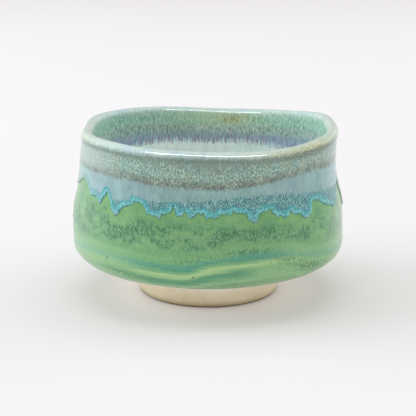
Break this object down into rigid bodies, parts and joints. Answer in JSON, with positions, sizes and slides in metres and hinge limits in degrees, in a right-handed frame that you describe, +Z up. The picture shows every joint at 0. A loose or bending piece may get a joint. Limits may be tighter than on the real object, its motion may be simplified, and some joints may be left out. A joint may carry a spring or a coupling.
{
  "type": "matcha bowl",
  "caption": "Hand-thrown tea bowl with a rounded-square plan, thick wavy lip, layered glazes with a ragged running edge and a bare clay foot ring.",
  "frame": {"origin": "on the wheel's axis, at the level the foot ring stands on", "axes": "+Z up out of the bowl's mouth, -Y towards the front, +X to the right as seen from the front"},
  "size_m": [0.1208, 0.1206, 0.0769],
  "materials": {
    "bare_clay": "matte",
    "foot_clay": "matte",
    "green_glaze": "gloss",
    "blue_glaze": "gloss",
    "lip_glaze": "gloss",
    "pale_glaze": "gloss",
    "streak_glaze": "gloss"
  },
  "bodies": {
    "root": {"clay_body": "bare_clay", "foot_ring": "foot_clay", "green_glaze_coat": "green_glaze", "blue_glaze_overlap": "blue_glaze", "lip_glaze": "lip_glaze", "inner_pale_glaze": "pale_glaze", "inner_streak_band": "streak_glaze"}
  },
  "joints": []
}
